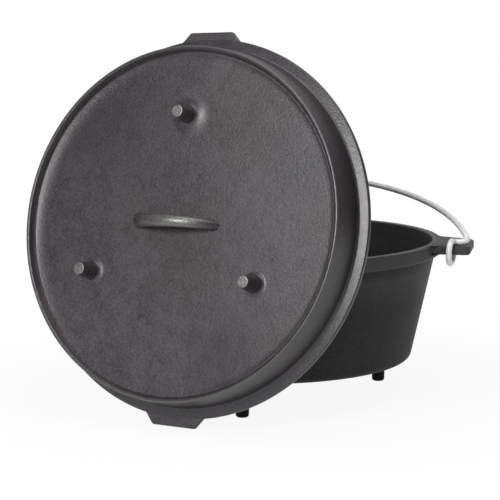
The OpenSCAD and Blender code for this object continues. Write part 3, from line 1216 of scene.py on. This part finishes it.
def facing(place: Vector, forward: Union[Vector, Array], roll: float = 0.0) -> Matrix:
    """Matrix of a camera or lamp at a place that looks forward, rolled by an angle in degrees.

    Args:
        place: Where it stands, in metres.
        forward: Where it looks.
        roll: Turn of its right-hand side upwards.

    Returns:
        The matrix, whose columns are right, up, back and place.
    """
    ahead = unit(np.array(forward))
    right = unit(np.cross(ahead, [0, 0, 1]))
    up = np.cross(right, ahead)
    c, s = np.cos(np.radians(roll)), np.sin(np.radians(roll))
    rows = np.eye(4)
    rows[:3] = np.stack([c * right + s * up, c * up - s * right, -ahead, place], 1)
    return Matrix(rows.tolist())


@dataclass(frozen=True)
class Softbox:
    """A square soft light that faces a point of the object; places and size in metres, power in watts."""

    name: str
    place: Vector
    power: float
    size: float
    aim: Vector = (0, -0.05, 0.16)

    def build(self) -> None:
        """Makes the lamp."""
        data = bpy.data.lights.new(self.name, "AREA")
        data.energy, data.size, data.shape = self.power, self.size, "SQUARE"
        add_object(self.name, data).matrix_world = facing(self.place, np.subtract(self.aim, self.place))


@dataclass
class Studio:
    """White studio, in metres: pale floor, soft lamps, white surroundings and the camera."""

    camera_at: Vector = (0.3550, -1.8598, 0.4205)
    camera_aim: Vector = (-0.1939, 0.9706, -0.1426)
    camera_roll: float = -0.38
    lens: float = 132.64
    sensor_w: float = 36
    sky: float = 0.22
    dim: float = 0.18
    ahead_span: Span = (0.5, 0.85)
    floor_r: float = 1.4
    floor_sides: int = 64
    paper: Colour = (0.8, 0.8, 0.8)
    white_span: Span = (0.22, 0.5)
    seen_near: float = 0.92
    mirrored_near: float = 0.6
    lamps: tuple[Softbox, ...] = (
        Softbox("key", (-0.68, -2.04, 1.02), 36, 0.7),
        Softbox("top", (0.25, -0.5, 2.0), 22, 1.6),
    )

    def rays(self, g: Graph) -> tuple[Term, Term]:
        """1 for camera rays, and 1 for glossy and transmission rays."""
        mirrored = g.math("MINIMUM", g.ray("Is Glossy Ray") + g.ray("Is Transmission Ray"), 1)
        return g.ray("Is Camera Ray"), mirrored

    def build(self) -> None:
        """Makes the camera, lamps, surroundings and floor."""
        bpy.context.scene.view_settings.view_transform = "Standard"
        self.camera()
        for lamp in self.lamps:
            lamp.build()
        self.surroundings()
        self.floor()

    def camera(self) -> None:
        """Makes the camera and lets the scene look through it."""
        data = bpy.data.cameras.new("camera")
        data.lens, data.sensor_width = self.lens, self.sensor_w
        camera = add_object("camera", data)
        camera.matrix_world = facing(self.camera_at, self.camera_aim, self.camera_roll)
        bpy.context.scene.camera = camera

    def surroundings(self) -> None:
        """Makes the world: white to the camera, faint as light, dim in mirrors but for what lies ahead."""
        scene = bpy.context.scene
        scene.world = scene.world or bpy.data.worlds.new("studio")
        g = Graph(scene.world)
        camera_ray, mirrored = self.rays(g)
        way = g.node("ShaderNodeTexCoord", {}, {}, "Generated")
        dot = {"operation": "DOT_PRODUCT"}
        ahead = g.node("ShaderNodeVectorMath", dot, {0: way, 1: self.camera_aim}, "Value")
        backdrop = self.dim + (1 - self.dim) * ahead.step(self.ahead_span)
        light = self.sky + (1 - self.sky) * camera_ray + (backdrop - self.sky) * mirrored
        g.surface(g.node("ShaderNodeBackground", {}, {"Color": WHITE, "Strength": light}))

    def floor(self) -> None:
        """Makes a wide pale floor."""
        mesh = bpy.data.meshes.new("floor")
        rim = revolve(np.array([[self.floor_r, 0.0]]), self.floor_sides)[0]
        mesh.from_pydata(rim.tolist(), [], [tuple(range(self.floor_sides))])
        mesh.materials.append(self.floor_paper())
        floor = add_object("floor", mesh)

    def floor_paper(self) -> bpy.types.Material:
        """Builds the floor's finish.

        Returns:
            Paper that takes light and shadow, and that is mostly plain white to the camera and in mirrors,
            the more so the further it lies from the object.
        """
        g = Graph(bpy.data.materials.new("floor_paper"))
        paper = g.node("ShaderNodeBsdfDiffuse", {}, {"Color": (*self.paper, 1)})
        white = g.node("ShaderNodeEmission", {}, {"Color": WHITE, "Strength": 1.0})
        away = g.node("ShaderNodeVectorMath", {"operation": "LENGTH"}, {0: g.place()}, "Value")
        far = away.step(self.white_span)
        camera_ray, mirrored = self.rays(g)
        seen = camera_ray * (self.seen_near + (1 - self.seen_near) * far)
        shown = mirrored * (self.mirrored_near + (1 - self.mirrored_near) * far)
        return g.surface(g.node("ShaderNodeMixShader", {}, {0: seen + shown, 1: paper, 2: white}))


def main() -> None:
    """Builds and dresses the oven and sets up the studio."""
    logging.basicConfig(level=logging.INFO, format="%(message)s")
    for part in (Pot(), Lid(), Bail()):
        part.dress(part.build())
    Studio().build()
    bpy.context.view_layer.update()


if __name__ == "__main__":
    main()
